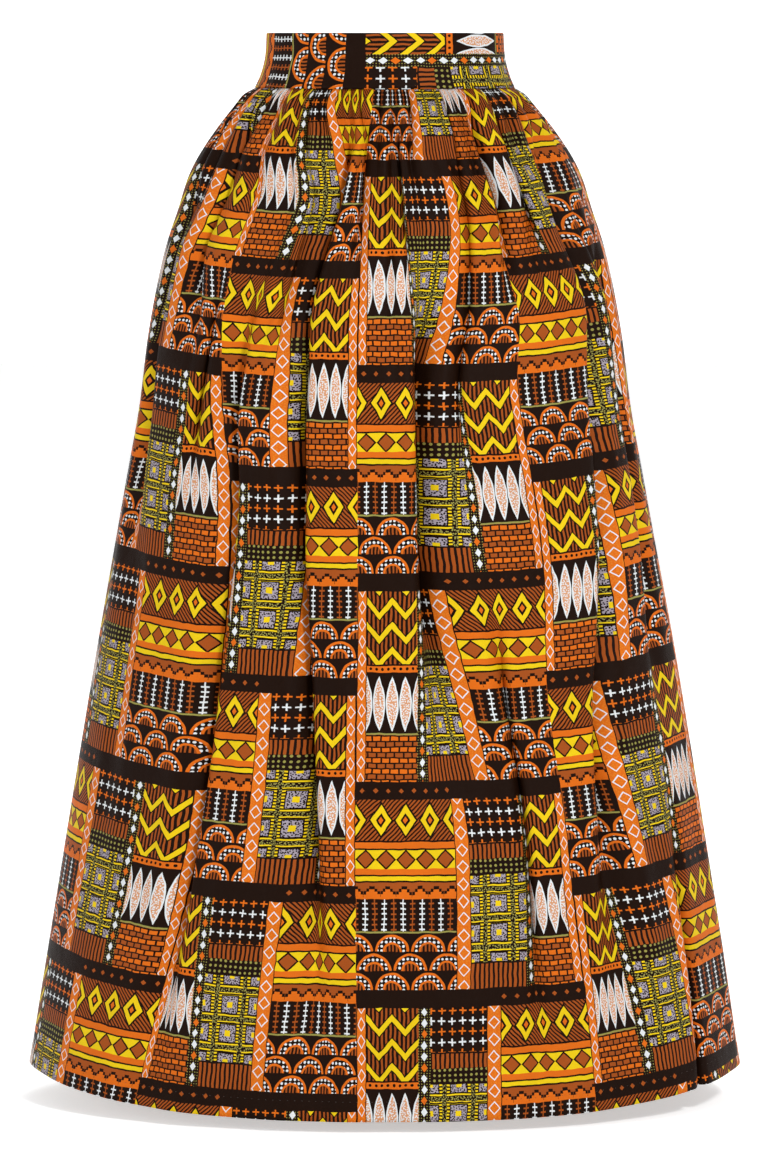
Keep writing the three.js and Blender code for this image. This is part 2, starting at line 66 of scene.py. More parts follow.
GATHERS_PER_PANEL = 23  # in each half of the tube
GATHER_BUNCHING = 0.045  # how far a gather shifts the cloth beside it, as a share of their pitch
BUNCHED_UNTIL = (0.100, 0.300)  # cloth over which that fades out
FLAT_AT_ZIP = (0.020, 0.036)  # no gathers nearer the centre back than the first, and all past the last
FOLD_DEPTH_PER_TAKE = 0.62  # how far a fold goes in, for the cloth that it takes up
FOLD_WIDTH_PER_TAKE = 2  # how wide it is in cloth, for the same

ZIP_LENGTH = 0.165  # below the waist seam
ZIP_SLOT = 0.0016  # between the panels in front of the zip
SLOT_CLOSES = 0.030  # cloth below the zip in which the slot closes to a seam
HEM_TURN = 0.020  # height of the turned hem

# ------------------------------------------------ tables, in millimetres
# Outer face of the waistband: drop below its top edge, half width, half depth.
BAND_SECTIONS = {
    "drop": [0, 24, 42, 55],
    "side": [119.5, 121, 125.5, 131],
    "front": [86, 87, 90, 94],
    "back": [86, 87, 90, 94],
}

# Outer face of the skirt: cloth distance below the waist seam, half width, and half depths.
SKIRT_SECTIONS = {
    "drop": [0, 10, 25, 56, 88, 116, 144, 196, 275, 352, 430, 637, 1032],
    "side": [131.2, 138.6, 148, 167.5, 185.5, 198.5, 209, 225, 240.5, 250.5, 264.5, 300, 363.5],
    "front": [94, 100, 107, 120, 131, 140, 147, 157, 169, 177.5, 185, 201, 228],
    "back": [94, 100.5, 110, 127, 142, 152, 161, 173, 185, 192.5, 199, 216, 242],
}

# Depth of the gathers below the waist seam.
GATHER_DEPTHS = {
    "drop": [0, 12, 37, 70, 120, 190, 300],
    "depth": [2.6, 5.5, 8, 8, 5.5, 2.5, 0],
}

# The largest folds, as in the solids: cloth from the middle of the front or of the back; how far
# across the cloth the fold wanders; where it begins, is full, eases off and ends; the cloth that it
# takes up; and how far it tips sideways for each mm it goes in.
FRONT_FOLDS = [
    # at, drift, begins, full, eases, ends, take, lean
    (-432, 14, 90, 190, 300, 560, 30, 0.5),
    (-356, 10, 20, 90, 150, 320, 34, 0.5),
    (-282, -45, 170, 270, 320, 430, 22, -0.4),
    (-240, -30, 100, 400, 720, 1100, 44, 0.6),
    (-176, 10, 40, 120, 190, 330, 24, -0.5),
    (-120, -10, 15, 130, 400, 600, 52, 0.6),
    (-126, 54, 400, 600, 640, 1080, 44, 0.6),
    (-36, 0, 10, 60, 110, 250, 24, -0.4),
    (26, 8, 15, 80, 120, 260, 22, 0.4),
    (76, 6, 140, 320, 440, 780, 58, -0.7),
    (140, 0, 20, 120, 250, 480, 24, 0.4),
    (158, 0, 460, 640, 760, 1060, 26, 0.4),
    (214, 0, 12, 60, 130, 260, 24, -0.4),
    (290, -30, 20, 70, 110, 220, 26, 0.5),
    (380, -130, 30, 150, 560, 1060, 44, -0.6),
    (440, -30, 160, 250, 460, 700, 30, -0.5),
    (404, -50, 640, 930, 1000, 1100, 20, 0.4),
]
BACK_FOLDS = [
    # at, drift, begins, full, eases, ends, take, lean
    (-432, 0, 30, 150, 320, 640, 32, -0.5),
    (-340, 20, 20, 120, 260, 1060, 50, 0.6),
    (-246, 0, 110, 260, 380, 700, 34, -0.6),
    (-190, 0, 15, 70, 120, 260, 24, 0.4),
    (-112, 12, 60, 240, 480, 1100, 46, 0.5),
    (96, -10, 50, 200, 330, 900, 52, -0.6),
    (184, 0, 30, 130, 240, 420, 28, 0.5),
    (262, 24, 20, 140, 420, 1080, 48, -0.5),
    (340, 0, 20, 80, 140, 280, 26, 0.5),
    (410, -12, 40, 220, 340, 620, 40, 0.6),
]

# Waves that make the gathers uneven: size, how many to one turn of the tube, phase.
GATHER_PLACES = [(0.2, 11, 0.6), (0.13, 27, 0)]
GATHER_REACHES = [(0.35, 17, 0), (0.2, 37, 1)]
GATHER_SIZES = [(0.25, 23, 2)]

# Small creases and swells that the solids leave out, round the whole tube: cloth from the centre
# front, drift, begins, full, eases, ends, width of cloth, depth inwards (negative stands proud).
CREASES = [
    (-452, 20, 200, 330, 420, 700, 60, -3.5),
    (-405, -8, 8, 40, 90, 210, 16, 2.6),
    (-398, 12, 380, 520, 640, 900, 46, 3.2),
    (-330, -16, 120, 200, 250, 420, 20, 2.2),
    (-312, 40, 480, 640, 800, 1040, 70, -4.5),
    (-214, 22, 30, 90, 160, 300, 14, 2.4),
    (-205, -20, 560, 700, 820, 1032, 40, 2.8),
    (-150, 8, 260, 340, 420, 560, 22, 2.4),
    (-88, -14, 20, 60, 130, 240, 12, 2.2),
    (-64, 30, 300, 420, 560, 820, 54, -3.6),
    (-18, -6, 420, 560, 700, 980, 34, 2.6),
    (2, 10, 20, 70, 150, 330, 15, 2.4),
    (52, -12, 60, 120, 170, 300, 12, 2.0),
    (112, 14, 200, 300, 360, 560, 24, -2.8),
    (118, -8, 640, 780, 860, 1032, 44, 3.0),
    (176, 18, 16, 70, 140, 320, 14, 2.4),
    (232, -24, 330, 470, 560, 800, 40, 3.0),
    (262, 6, 120, 210, 260, 420, 18, 2.2),
    (330, -20, 560, 700, 840, 1032, 60, -4.0),
    (342, 12, 16, 60, 120, 260, 14, 2.6),
    (418, -16, 90, 170, 240, 430, 18, 2.4),
    (470, -12, 420, 620, 900, 1100, 60, -3.0),
    (540, 10, 300, 420, 520, 800, 44, 3.0),
    (598, 18, 20, 80, 170, 330, 16, 2.4),
    (672, -20, 500, 640, 780, 1032, 58, -4.2),
    (706, 8, 60, 150, 240, 420, 18, 2.4),
    (786, 14, 240, 360, 460, 700, 36, 2.8),
    (905, -12, 120, 240, 420, 760, 40, -3.2),
    (-905, 16, 160, 280, 420, 800, 44, 3.0),
    (-820, -18, 20, 80, 160, 300, 16, 2.4),
    (-760, 12, 420, 560, 700, 1000, 52, -4.0),
    (-690, -10, 200, 300, 400, 620, 24, 2.6),
    (-610, 18, 560, 700, 840, 1032, 46, 3.2),
    (-560, -14, 30, 90, 180, 340, 16, 2.4),
]
# Puckers that the gathering thread leaves just under the band: waves like those above, with their
# sizes in millimetres.
PUCKERS = [(1.7, 97, 0.3), (1.2, 131, 1.1), (0.7, 157, 2.0)]
PUCKERS_OPEN = (-0.002, 0.013)  # cloth over which they open out below the seam
PUCKERS_FADE = 0.034  # cloth in which they then fade to about a third
# How far the gathers puff the cloth out under the band.
PUFF = {
    "drop": [0, 12, 60, 105, 150, 1100],
    "out": [0, 3, 4, 3.5, 0, 0],
}
# How the gathering thread crowds the cloth sideways along the seam: waves, in millimetres too.
CROWDING = [(2.3, 17, 0.9), (0.9, 29, 2.4)]
CROWDED_UNTIL = (0.020, 0.170)  # cloth over which the crowding fades out
UNCROWDED_EDGE_POWER = 8  # the higher, the nearer the side seams the crowding reaches
# Slow waves of the lower half, in millimetres, and the distances between which they grow.
HEM_WAVES = [(0.7, 9, 0.4), (0.5, 14, 2.2), (0.4, 23, 1.0)]
HEM_WAVES_GROW = (0.45, 1.0)


# ------------------------------------------------ the form of the cloth
def smooth(low, high, x):
    """Rises from 0 at low to 1 at high."""
    t = np.clip((x - low) / (high - low), 0, 1)
    return t * t * (3 - 2 * t)


def column(table, name, drop):
    """A column of a table at a drop in metres, by a cubic through its rows. Also in metres."""
    drops = np.array(table["drop"]) * MM
    values = np.array(table[name]) * MM
    slopes = np.empty_like(values)
    slopes[1:-1] = (values[2:] - values[:-2]) / (drops[2:] - drops[:-2])
    slopes[0] = (values[1] - values[0]) / (drops[1] - drops[0])
    slopes[-1] = (values[-1] - values[-2]) / (drops[-1] - drops[-2])
    row = np.clip(np.searchsorted(drops, drop, side="left") - 1, 0, len(drops) - 2)
    span = drops[row + 1] - drops[row]
    t = np.clip((drop - drops[row]) / span, 0, 1)
    return (
        (2 * t**3 - 3 * t**2 + 1) * values[row]
        + (t**3 - 2 * t**2 + t) * span * slopes[row]
        + (3 * t**2 - 2 * t**3) * values[row + 1]
        + (t**3 - t**2) * span * slopes[row + 1]
    )


HEIGHT_STEP = 0.002
HEIGHT_DROPS = np.arange(0, PANEL_LENGTH + 2 * HEIGHT_STEP, HEIGHT_STEP)


def heights_below_seam(name):
    """How far the cloth has come down in height at each of HEIGHT_DROPS."""
    out = np.diff(column(SKIRT_SECTIONS, name, HEIGHT_DROPS))
    return np.concatenate([[0], np.cumsum(np.sqrt(HEIGHT_STEP**2 - out**2))])


HEIGHTS = {name: heights_below_seam(name) for name in ("side", "front", "back")}


def height_below_seam(name, drop):
    return np.interp(drop, HEIGHT_DROPS, HEIGHTS[name])


def quarter_arc(side, depth, steps=180):
    """Lengths along a quarter of an ellipse, from its front or back middle, and the angles there."""
    angles = np.linspace(0, math.pi / 2, steps + 1)
    between = (angles[1:] + angles[:-1]) / 2
    speeds = np.hypot(side * np.cos(between), depth * np.sin(between))
    lengths = np.concatenate([[0], np.cumsum(speeds * math.pi / 2 / steps)])
    return lengths, angles


def sum_of_waves(waves, turn):
    """turn is an angle round the tube, in radians."""
    return sum(size * np.sin(count * turn + phase) for size, count, phase in waves)


def waves_in_cloth(waves, around):
    return sum_of_waves(waves, math.pi * around / PANEL_WIDTH)


def gather_number(around):
    return around * GATHERS_PER_PANEL / PANEL_WIDTH + waves_in_cloth(GATHER_PLACES, around)


def gather_depth(around, drop):
    reach = 1 + waves_in_cloth(GATHER_REACHES, around)
    size = 1 + waves_in_cloth(GATHER_SIZES, around)
    last = GATHER_DEPTHS["drop"][-1] * MM
    return np.maximum(column(GATHER_DEPTHS, "depth", np.minimum(drop / reach, last)), 0) * size


def rounded_ridge(at, drop, start, drift, begins, full, eases, ends, width):
    """A fold or crease that runs down the cloth. Returns places across it, from -0.5 to 0.5, how
    full it is at this drop, and its form across, from 0 to 1. All but at and drop are millimetres."""
    fade = smooth(begins, full, drop / MM) * (1 - smooth(eases, ends, drop / MM))
    middle = MM * (start + drift * (drop / MM - begins) / (ends - begins))
    t = np.clip((at - middle) / (width * MM), -0.5, 0.5)
    return t, fade, 0.5 + 0.5 * np.cos(2 * math.pi * t)


def folded_place(folds, at, drop):
    """How the folds move places in a half: along the arc, in cloth, and inwards and sideways."""
    along = at + PANEL_WIDTH / 2
    inward = np.zeros_like(at)
    sideways = np.zeros_like(at)
    for *run, full_take, lean in folds:
        t, fade, form = rounded_ridge(at, drop, *run, FOLD_WIDTH_PER_TAKE * full_take)
        take = full_take * MM * fade
        deep = FOLD_DEPTH_PER_TAKE * take * form
        along = along - take * (t + 0.5 + np.sin(2 * math.pi * t) / (2 * math.pi))
        inward = inward + deep
        sideways = sideways + lean * deep
    return along, inward, sideways


def crease_depth(around, drop):
    """What the small creases, the puckers and the hem's waves add to the solids' form, inwards."""
    depth = np.zeros_like(around)
    for *run, width, size in CREASES:
        _, fade, form = rounded_ridge(around, drop, *run, width)
        depth = depth + size * MM * fade * form
    opened = float(smooth(*PUCKERS_OPEN, drop)) * math.exp(-drop / PUCKERS_FADE)
    pucker = MM * waves_in_cloth(PUCKERS, around) * opened
    wave = MM * waves_in_cloth(HEM_WAVES, around) * float(smooth(*HEM_WAVES_GROW, drop))
    puff = float(column(PUFF, "out", drop))
    return depth + pucker + wave - puff


def bunching(phase, drop):
    """How far the gathers shift the cloth beside them."""
    pitch = PANEL_WIDTH / GATHERS_PER_PANEL
    return GATHER_BUNCHING * pitch * np.sin(phase) * (1 - smooth(*BUNCHED_UNTIL, drop))


def crowding(at, around, drop):
    """How far the gathering thread shifts the cloth. The side seams stay where they are."""
    inside = 1 - np.abs(2 * at / PANEL_WIDTH) ** UNCROWDED_EDGE_POWER
    return MM * waves_in_cloth(CROWDING, around) * inside * (1 - smooth(*CROWDED_UNTIL, drop))


def half_points(is_front, at, around, drop, offset, fine):
    """Places in the front or back half, at one distance below the seam. at is counted from the
    middle of the half."""
    folds, depth_name = (FRONT_FOLDS, "front") if is_front else (BACK_FOLDS, "back")
    side = float(column(SKIRT_SECTIONS, "side", drop)) - CAD_WALL / 2
    depth = float(column(SKIRT_SECTIONS, depth_name, drop)) - CAD_WALL / 2
    lengths, angles = quarter_arc(side, depth)
    middle, edge = folded_place(folds, np.array([0, PANEL_WIDTH / 2]), drop)[0]
    along, inward, sideways = folded_place(folds, at, drop)
    scale = np.where(at < 0, lengths[-1] / middle, lengths[-1] / (edge - middle))
    free = 1.0 if is_front else smooth(*FLAT_AT_ZIP, np.abs(at) * scale)
    phase = 2 * math.pi * gather_number(around)
    inward = inward + gather_depth(around, drop) * (0.5 - 0.5 * np.cos(phase)) * free
    on_arc = (along - middle + bunching(phase, drop) * free) * scale + sideways
    if fine:
        inward = inward + crease_depth(around, drop) * free
        on_arc = on_arc + crowding(at, around, drop) * free
    angle = np.sign(on_arc) * np.interp(np.abs(on_arc), lengths, angles)
    out = np.stack([depth * np.sin(angle), -side * np.cos(angle)])
    out /= np.hypot(*out)
    x = side * np.sin(angle) - out[0] * (inward - offset)
    y = -depth * np.cos(angle) - out[1] * (inward - offset)
    at_side = np.abs(np.sin(angle)) ** SIDE_LIFT_POWER
    below_middle = height_below_seam(depth_name, drop)
    below_side = height_below_seam("side", drop)
    below = (1 - at_side) * below_middle + at_side * below_side
    dip = SEAM_DIP * (1 - at_side) if is_front else 0
    z = -BAND_HEIGHT / 2 - SEAM_GAP - dip - below
    turned = 1 if is_front else -1
    return np.stack([turned * x, turned * y, z], axis=-1)


def cloth_points(around, drop, offset=0.0, fine=True):
    """The middle of the cloth at places round the tube, which are cloth distances from the centre
    front towards +X. offset moves it outwards, level. fine adds what the solids leave out."""
    around = np.asarray(around, dtype=float)
    front = np.abs(around) <= PANEL_WIDTH / 2
    at = np.where(front, around, around - np.sign(around) * PANEL_WIDTH)
    halves = [half_points(is_front, at, around, drop, offset, fine) for is_front in (True, False)]
    return np.where(front[:, None], *halves)


def band_points(degrees, drop, outward=0.0):
    """Places on the outer face of the waistband, moved outwards. degrees count from the centre
    front, towards +X."""
    angle = np.radians(degrees)
    front = np.cos(angle) >= 0
    side = column(BAND_SECTIONS, "side", drop) + outward
    depth = column(BAND_SECTIONS, "front", drop) + outward
    dip = np.where(front, SEAM_DIP * np.cos(angle) ** 2 * drop / BAND_HEIGHT, 0)
    height = np.full_like(angle, BAND_HEIGHT / 2 - drop) - dip
    return np.stack([side * np.sin(angle), -depth * np.cos(angle), height], axis=-1)


# ------------------------------------------------ meshes
def new_object(name, vertices, faces, material, body, uvs=None):
    """A smooth piece on one body. uvs has one place for each vertex."""
    mesh = bpy.data.meshes.new(name)
    faces = faces if isinstance(faces, list) else faces.tolist()
    mesh.from_pydata(np.asarray(vertices).tolist(), [], faces)
    if uvs is not None:
        layer = mesh.uv_layers.new(name="cloth")
        corner = np.empty(len(mesh.loops), dtype=np.int32)
        mesh.loops.foreach_get("vertex_index", corner)
        layer.data.foreach_set("uv", np.asarray(uvs)[corner].astype(np.float32).ravel())
    mesh.polygons.foreach_set("use_smooth", [True] * len(mesh.polygons))
    mesh.materials.append(material)
    mesh.validate()
    piece = bpy.data.objects.new(name, mesh)
    bpy.context.scene.collection.objects.link(piece)
    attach(piece, body)
    return piece


def grid_normals(grid):
    across = np.gradient(grid, axis=1)
    down = np.gradient(grid, axis=0)
    normals = np.cross(down, across)
    return normals / np.linalg.norm(normals, axis=-1, keepdims=True)


def shell(grid, thickness):
    """A closed thin wall round a grid of middle points. Returns vertices and faces. thickness is a
    number or one for each row."""
    rows, columns = grid.shape[:2]
    half = np.broadcast_to(np.asarray(thickness) / 2, rows)[:, None, None]
    out = grid_normals(grid) * half
    vertices = np.concatenate([(grid + out).reshape(-1, 3), (grid - out).reshape(-1, 3)])
    index = np.arange(rows * columns).reshape(rows, columns)
    a, b, c, d = index[:-1, :-1], index[1:, :-1], index[1:, 1:], index[:-1, 1:]
    outer = np.stack([a, b, c, d], axis=-1).reshape(-1, 4)
    inner = outer[:, ::-1] + rows * columns
    border = np.concatenate([index[:, 0], index[-1, 1:], index[-2::-1, -1], index[0, -2:0:-1]])
    following = np.roll(border, -1)
    rim = np.stack([following, border, border + rows * columns, following + rows * columns], axis=-1)
    return vertices, np.concatenate([outer, inner, rim])


# ------------------------------------------------ fields and materials
class Field:
    """A number at each point of a surface, worked out by Math nodes."""

    nodes = None
    links = None

    def __init__(self, source):
        self.source = source

    @classmethod
    def math(cls, operation, *values):
        node = cls.nodes.new("ShaderNodeMath")
        node.operation = operation
        for socket, value in zip(node.inputs, values):
            connect(socket, value)
        return cls(node.outputs[0])

    def __add__(self, other):
        return Field.math("ADD", self, other)

    def __sub__(self, other):
        return Field.math("SUBTRACT", self, other)

    def __rsub__(self, other):
        return Field.math("SUBTRACT", other, self)

    def __mul__(self, other):
        return Field.math("MULTIPLY", self, other)

    def __truediv__(self, other):
        return Field.math("DIVIDE", self, other)

    def __lt__(self, other):
        return Field.math("LESS_THAN", self, other)

    def __gt__(self, other):
        return Field.math("GREATER_THAN", self, other)

    __radd__ = __add__
    __rmul__ = __mul__


def connect(socket, value):
    """Feeds a socket from a Field or another socket, or sets it to a constant."""
    source = value.source if isinstance(value, Field) else value
    if isinstance(source, bpy.types.NodeSocket):
        Field.links.new(source, socket)
    else:
        socket.default_value = source


def absolute(x):
    return Field.math("ABSOLUTE", x)


def floor_of(x):
    return Field.math("FLOOR", x)


def part_of(x, period):
    """How far x is through its period, from 0 to 1."""
    return Field.math("FRACT", x * (1 / period))


def from_nearest(x, period):
    """Distance from x to the nearest whole multiple of the period."""
    return Field.math("PINGPONG", x, period / 2)


def choose(mask, inside, outside):
    """inside where the mask is 1 and outside where it is 0."""
    return Field.math("MULTIPLY_ADD", mask, inside - outside, outside)


def either(a, b):
    return Field.math("MAXIMUM", a, b)


def zones(y, parts):
    """parts: pairs of the value at which a zone ends and what is in it, from the lowest values
    up. The last zone has no end."""
    inside = parts[-1][1]
    for limit, part in reversed(parts[:-1]):
        inside = choose(y < limit, part, inside)
    return inside


def linear(colour):
    """A display colour as the linear one that shaders take."""
    parts = [int(colour[i : i + 2], 16) / 255 for i in (1, 3, 5)]
    return [p / 12.92 if p <= 0.04045 else ((p + 0.055) / 1.055) ** 2.4 for p in parts]


def new_material(name):
    """A new material, to whose nodes Field then adds. Returns it and its shader."""
    material = bpy.data.materials.new(name)
    material.use_nodes = True
    Field.nodes = material.node_tree.nodes
    Field.links = material.node_tree.links
    return material, Field.nodes["Principled BSDF"]


def texture(kind, coordinate, scale, output, **settings):
    node = Field.nodes.new(kind)
    for name, value in settings.items():
        setattr(node, name, value)
    node.inputs["Scale"].default_value = scale
    connect(node.inputs["Vector"], coordinate)
    return node.outputs[output]


def noise(coordinate, scale, **settings):
    return Field(texture("ShaderNodeTexNoise", coordinate, scale, "Fac", **settings))


def scaled(vector, factor):
    node = Field.nodes.new("ShaderNodeVectorMath")
    node.operation = "SCALE"
    connect(node.inputs[0], vector)
    connect(node.inputs["Scale"], factor)
    return node.outputs[0]


def axes_of(vector):
    parts = Field.nodes.new("ShaderNodeSeparateXYZ")
    connect(parts.inputs[0], vector)
    return [Field(output) for output in parts.outputs]


def add_bump(shader, height, strength, distance):
    bump = Field.nodes.new("ShaderNodeBump")
    bump.inputs["Strength"].default_value = strength
    bump.inputs["Distance"].default_value = distance
    connect(bump.inputs["Height"], height)
    connect(shader.inputs["Normal"], bump.outputs[0])


# ------------------------------------------------ motifs of the print
# Display colours of the dyes, and the numbers that stand for them in the drawing.
DYES = {
    "black": "#1c0d05",
    "orange": "#de6c17",
    "amber": "#e27f22",
    "rust": "#a4501c",
    "yellow": "#ecca16",
    "white": "#e4e8ea",
    "lilac": "#a79da8",
    "olive": "#97914b",
    "peach": "#d79a70",
}
BLACK, ORANGE, AMBER, RUST, YELLOW, WHITE, LILAC, OLIVE, PEACH = range(len(DYES))


# Each motif takes places in millimetres and returns dye numbers. Its sizes are millimetres as
# well, and its shares are parts of a pitch.
def striped(x, pitch, share, dye, ground):
    return choose(part_of(x, pitch) < share, dye, ground)


def hatched(x, y):
    return striped(x + y, pitch=4.6, share=0.46, dye=BLACK, ground=RUST)


def dots(x, y, pitch, share, dye, ground):
    across, up = from_nearest(x, pitch), from_nearest(y, pitch)
    return choose(across * across + up * up < (share * pitch / 2) ** 2, dye, ground)


def lozenges(x, y, width, height):
    """Nested lozenges on hatching."""
    reach = from_nearest(x, width) * (2 / width) + from_nearest(y, height) * (2 / height)
    return zones(reach, [
        (0.2, ORANGE),
        (0.4, BLACK),
        (0.82, YELLOW),
        (0.98, BLACK),
        (None, hatched(x, y)),
    ])


def hourglasses(x, y, size, outline=2.2):
    """y is counted from the waist of the hourglasses."""
    across, up = from_nearest(x, size), absolute(y)
    return choose(across < up, YELLOW, choose(across < up + outline, BLACK, RUST))


def steps(x, y, width, rise):
    """Stepped pyramids. y is counted upwards from their foot."""
    stair = Field.math("SNAP", from_nearest(x, width), rise)
    return zones(stair + y, [(width * 0.6, ORANGE), (width * 0.8, BLACK), (None, RUST)])


def ladders(x, y, pitch, post=0.55, rung=2.7, rung_pitch=5.2, rung_share=0.3):
    """Posts with short rungs, white and rust by turns. post and rung are half widths."""
    across = from_nearest(x, pitch)
    rungs = (across < rung) * (part_of(y, rung_pitch) < rung_share)
    dye = choose(part_of(x - pitch / 2, 2 * pitch) < 0.5, WHITE, RUST)
    return choose(either(across < post, rungs), dye, BLACK)


def scallops(x, y, width, rise):
    """Rows of nested arches, each row half an arch along from the next. y counts upwards."""
    row = floor_of(y / rise)
    across = from_nearest(x + row * (width / 2), width)
    up = y - row * rise
    reach = Field.math("SQRT", across * across + up * up)
    return zones(reach, [
        (width * 0.2, striped(x, pitch=3.6, share=0.45, dye=RUST, ground=BLACK)),
        (width * 0.26, ORANGE),
        (width * 0.4, dots(x, y, pitch=4.3, share=0.62, dye=WHITE, ground=BLACK)),
        (width * 0.47, ORANGE),
        (None, BLACK),
    ])


def plus_signs(x, y, pitch, arm=0.75, reach_share=0.36):
    """Rows of plus signs, white and orange by turns. arm is half an arm's width."""
    across, up = from_nearest(x, pitch), from_nearest(y, pitch)
    arms = Field.math("MINIMUM", across, up) < arm
    dye = choose(part_of(y - pitch / 2, 2 * pitch) < 0.5, WHITE, ORANGE)
    return choose(arms * (either(across, up) < pitch * reach_share), dye, BLACK)


def bricks(x, y, course=5.4, length=9, bed_share=0.26, joint_share=0.2):
    """Courses of bricks, orange and rust by turns, each half a brick along from the next."""
    row = floor_of(y / course)
    bed = part_of(y, course) < bed_share
    joint = part_of(x + row * (length / 2), length) < joint_share
    dye = choose(part_of(row, 2) < 0.25, ORANGE, RUST)
    return choose(either(bed, joint), BLACK, dye)


def squares(x, y, pitch, specks):
    """Nested squares, with a speckled heart."""
    reach = either(from_nearest(x, pitch), from_nearest(y, pitch)) * (2 / pitch)
    return zones(reach, [
        (0.2, YELLOW),
        (0.56, choose(specks, BLACK, LILAC)),
        (0.64, BLACK),
        (0.84, striped(y, pitch=3.2, share=0.5, dye=YELLOW, ground=BLACK)),
        (None, choose(specks, OLIVE, BLACK)),
    ])


def chevrons(x, y, width, pitch, slant=1.15, thickness=7, outline=1.8):
    """Yellow zigzags with a dark outline, on stripes."""
    slope = y - from_nearest(x, width) * slant
    stripes = striped(x, pitch=4.4, share=0.45, dye=RUST, ground=BLACK)
    dark = part_of(slope + outline, pitch) < (thickness + 2 * outline) / pitch
    return choose(part_of(slope, pitch) < thickness / pitch, YELLOW, choose(dark, BLACK, stripes))


def spindles(x, y, width, half_height, specks):
    """y is counted from the middle of the spindles."""
    up = y * (1 / half_height)
    reach = from_nearest(x, width) * (2 / width) + up * up
    return zones(reach, [(0.72, choose(specks, WHITE, PEACH)), (0.95, WHITE), (None, BLACK)])


def chain(x, y, width, grain, link=17, line=0.9):
    """A strip with a white chain down it. x is counted from its middle."""
    reach = absolute(x) * (2 / width) + from_nearest(y, link) * (2 / link)
    links = choose(absolute(reach - 0.72) < 0.09, WHITE, choose(grain, AMBER, ORANGE))
    return choose(absolute(x) > width / 2 - line, BLACK, links)


def beads(x, y, half_width=3.2, half_height=4.4, pitch=11):
    """A narrow dark strip of small lozenges, every third one orange. x is counted from its middle."""
    reach = absolute(x) * (1 / half_width) + from_nearest(y, pitch) * (1 / half_height)
    dye = choose(part_of(y - pitch / 2, 3 * pitch) < 0.34, ORANGE, WHITE)
    ground = dots(x, y, pitch=2.75, share=0.4, dye=OLIVE, ground=BLACK)
    return choose(reach < 1, dye, ground)


def pips(x, y, pitch, reach=2.6):
    """Small lozenges for the dark bars between rows."""
    return choose(from_nearest(x, pitch) + absolute(y) < reach, RUST, BLACK)


# ------------------------------------------------ layout of the print
# In millimetres. A row of the design is ROW_HEIGHT high and a column REPEAT wide.
ROW_HEIGHT, REPEAT = 206, 246
BAR = 18  # dark bar at the top of each row
LINE = 1.7  # dark line between bands
PIP_PITCH, PIPS = 13, 8  # along the first part of each bar


def wide_block(x, y):
    return zones(y, [
        (58, lozenges(x, y - 38, width=25, height=38)),
        (58 + LINE, BLACK),
        (66, ORANGE),
        (66 + LINE, BLACK),
        (86, hourglasses(x, y - 77, size=20)),
        (92, ORANGE),
        (92 + LINE, BLACK),
        (98, YELLOW),
        (98 + LINE, BLACK),
        (116, steps(x, 116 - y, width=16, rise=2.6)),
        (148, ladders(x, y, pitch=9.4)),
        (148 + LINE, OLIVE),
        (None, scallops(x, ROW_HEIGHT - y, width=36, rise=19)),
    ])


def tall_block(x, y, specks):
    stripes = striped(x, pitch=4.8, share=0.55, dye=RUST, ground=BLACK)
    return zones(y, [
        (62, plus_signs(x - 4, y, pitch=10.4)),
        (62 + LINE, BLACK),
        (78, stripes),
        (94, dots(x, y, pitch=5.3, share=0.5, dye=OLIVE, ground=BLACK)),
        (180, squares(x, y - 94, pitch=28.6, specks=specks)),
        (180 + LINE, BLACK),
        (None, stripes),
    ])


def side_block(x, y, specks):
    return zones(y, [
        (90, chevrons(x, y, width=26, pitch=24)),
        (90 + LINE, BLACK),
        (98, dots(x, y - 94.6, pitch=6, share=0.5, dye=BLACK, ground=ORANGE)),
        (98 + LINE, BLACK),
        (158, spindles(x, y - 129, width=13, half_height=28, specks=specks)),
        (158 + LINE, OLIVE),
        (None, bricks(x, y - 160)),
    ])


def speckles(x, y, scale=0.5, reach=0.34):
    """1 in small scattered specks and 0 between them. reach is a part of their mean pitch."""
    place = Field.nodes.new("ShaderNodeCombineXYZ")
    connect(place.inputs["X"], x)
    connect(place.inputs["Y"], y)
    kind = "ShaderNodeTexVoronoi"
    cells = texture(kind, place.outputs[0], scale, "Distance", voronoi_dimensions="2D")
    return Field(cells) < reach


def design(x, y):
    """Dye numbers of the whole print. x and y are millimetres of cloth, y downwards. Every other
    column is shifted by half a row, and every other row of a column is turned left for right."""
    column_number = floor_of(x / REPEAT)
    dropped = y + part_of(column_number, 2) * ROW_HEIGHT
    row = floor_of(dropped / ROW_HEIGHT)
    odd = part_of(row, 2) > 0.25
    down = dropped - row * ROW_HEIGHT
    along = x - column_number * REPEAT
    across = choose(odd, REPEAT - along, along)
    specks = speckles(x, y)
    rows = zones(across, [
        (100, wide_block(across, down)),
        (115, chain(across - 107.5, down, width=15, grain=specks)),
        (172, tall_block(across - 115, down, specks)),
        (184, beads(across - 178, down)),
        (236, side_block(across - 184, down, specks)),
        (None, chain(across - 241, down, width=10, grain=specks)),
    ])
    marks = pips(across - PIP_PITCH / 2, down - BAR / 2, PIP_PITCH)
    bar = choose(across < PIPS * PIP_PITCH, marks, BLACK)
    return choose(down < BAR, bar, rows)


# ------------------------------------------------ materials
# Noise scales of the print are for each millimetre of cloth.
WOBBLE = {"scale": 0.075, "detail": 1.2, "reach": 1.9}  # how unevenly the print's lines run
DYE_DEPTH = 0.78  # factor on the dyes' linear colours, for this scene's lights
PATCHES = {"scale": 0.02, "share": 0.16}  # how uneven the dyeing is, in large patches
THREADS = {"scale": 1.4, "share": 0.2}  # and from thread to thread
WEAVE = {"pitch": 0.55, "share": 0.03}  # the weave's bump, next to that of the crinkles
CRINKLE_SCALE = 0.05


